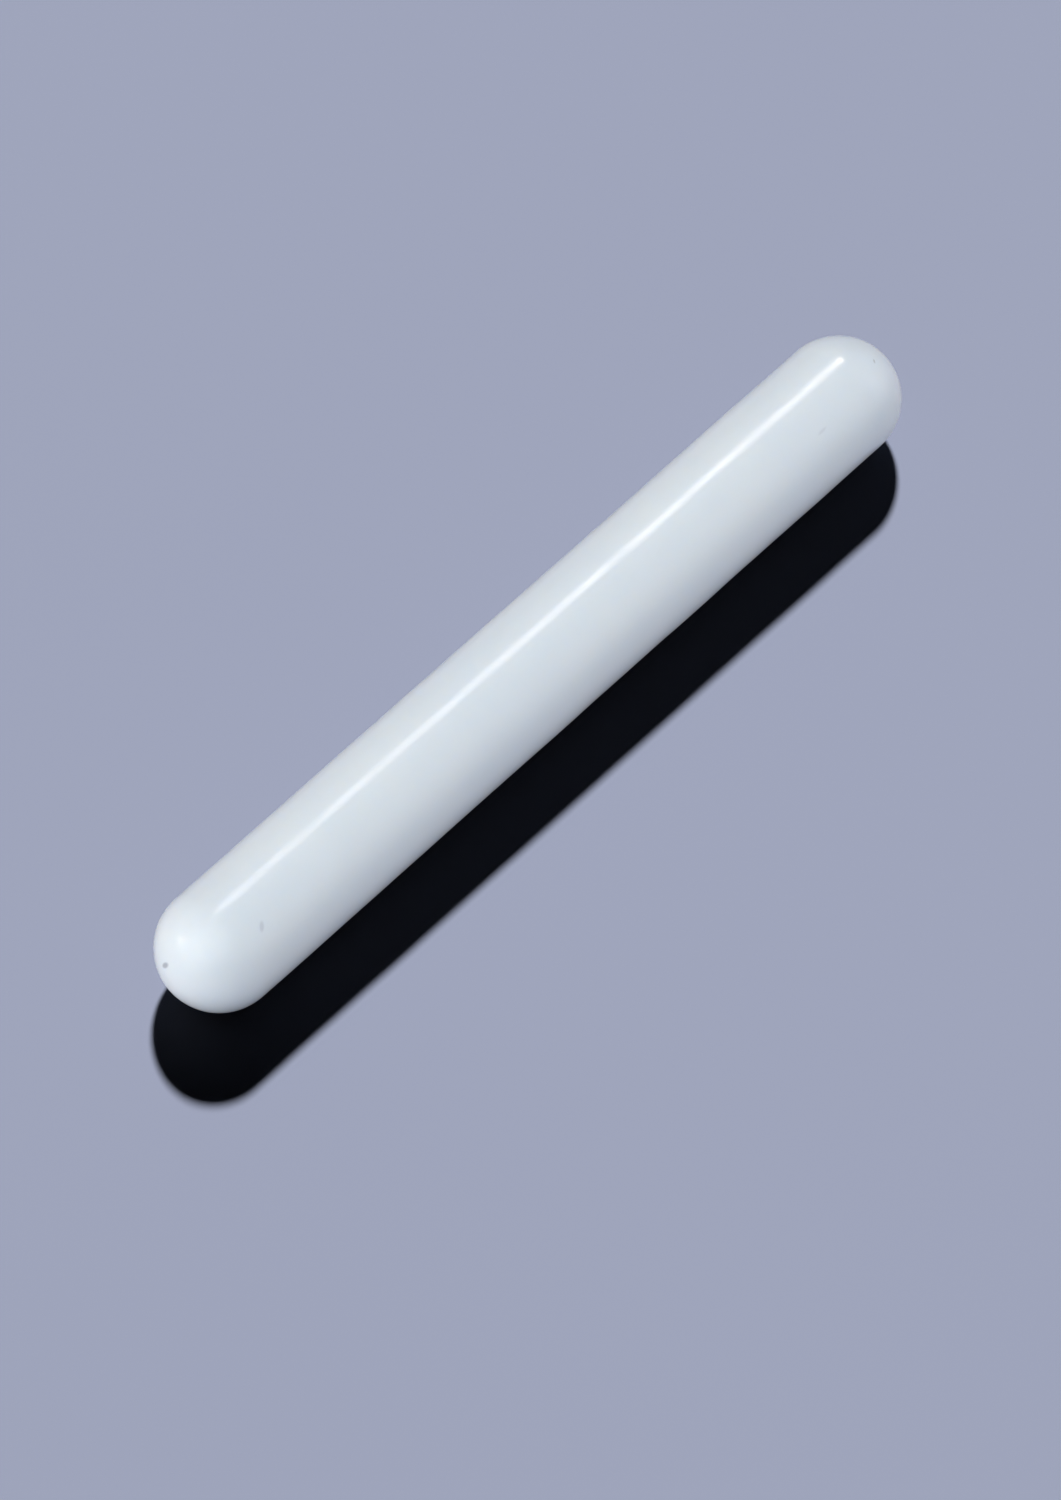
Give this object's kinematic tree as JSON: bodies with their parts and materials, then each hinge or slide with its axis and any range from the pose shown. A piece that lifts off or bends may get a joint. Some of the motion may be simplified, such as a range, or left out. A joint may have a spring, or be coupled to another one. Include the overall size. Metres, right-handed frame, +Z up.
{
  "type": "magnetic stir bar",
  "caption": "Smooth white round-ended rod with a magnet sealed inside, laid in a vessel on a magnetic stirrer and spun to mix the liquid.",
  "frame": {"origin": "centre of the bar, on its axis and halfway between the two dome tips", "axes": "+X along the bar's axis, +Z up from the surface that the bar lies on, +Y across the bar"},
  "size_m": [0.08, 0.01, 0.01],
  "materials": {
    "jacket_plastic": "smooth moulded white fluoropolymer, waxy satin",
    "magnet_alloy": "cast aluminium-nickel-cobalt alloy, ground round and on its end faces"
  },
  "bodies": {
    "root": {"ptfe_jacket": "jacket_plastic", "magnet_core": "magnet_alloy"}
  },
  "joints": []
}
